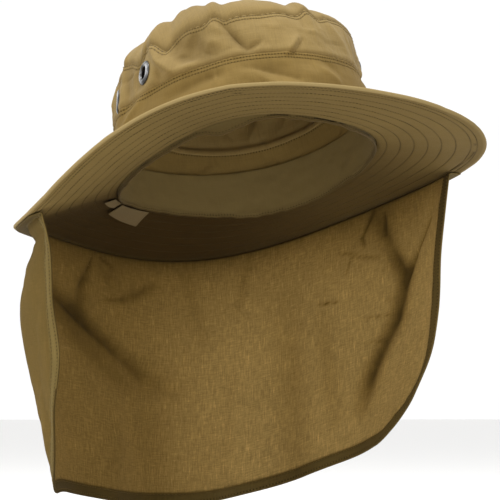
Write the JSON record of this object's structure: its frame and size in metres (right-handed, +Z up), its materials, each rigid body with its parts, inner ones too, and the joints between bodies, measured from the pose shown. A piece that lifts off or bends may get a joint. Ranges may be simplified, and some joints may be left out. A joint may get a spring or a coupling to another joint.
{
  "type": "ranger hat with neck flap",
  "caption": "Soft cotton ranger hat: rumpled crown with wide band and eyelets, stitched round brim, sweatband and a thin neck flap hanging from under the brim.",
  "frame": {"origin": "centre of the head opening, in the plane of the seam between crown and brim", "axes": "+Z up as worn, -Y the way the hat faces, +X the wearer's left; the hat sits tilted back and the flap hangs plumb"},
  "size_m": [0.3255, 0.3382, 0.3474],
  "materials": {
    "khaki_cotton": "matt plain-weave khaki cotton, lightly rumpled, double rows of topstitching",
    "brim_cotton": "khaki cotton, two stiffened layers quilted with concentric rows of stitching",
    "sweatband_cotton": "golden olive cotton, turned and slightly puffed",
    "flap_cotton": "thin slub-weave khaki cotton that lets light through, double-stitched hem",
    "eyelet_nickel": "bright nickel-plated pressed brass",
    "label_cloth": "bare beige woven tape"
  },
  "bodies": {
    "root": {"crown_top": "khaki_cotton", "crown_side": "khaki_cotton", "crown_band": "khaki_cotton", "brim": "brim_cotton", "sweatband": "sweatband_cotton", "neck_flap": "flap_cotton", "eyelet_right_front": "eyelet_nickel", "eyelet_right_back": "eyelet_nickel", "eyelet_left_front": "eyelet_nickel", "eyelet_left_back": "eyelet_nickel", "label_small": "label_cloth", "label_large": "label_cloth"}
  },
  "joints": []
}
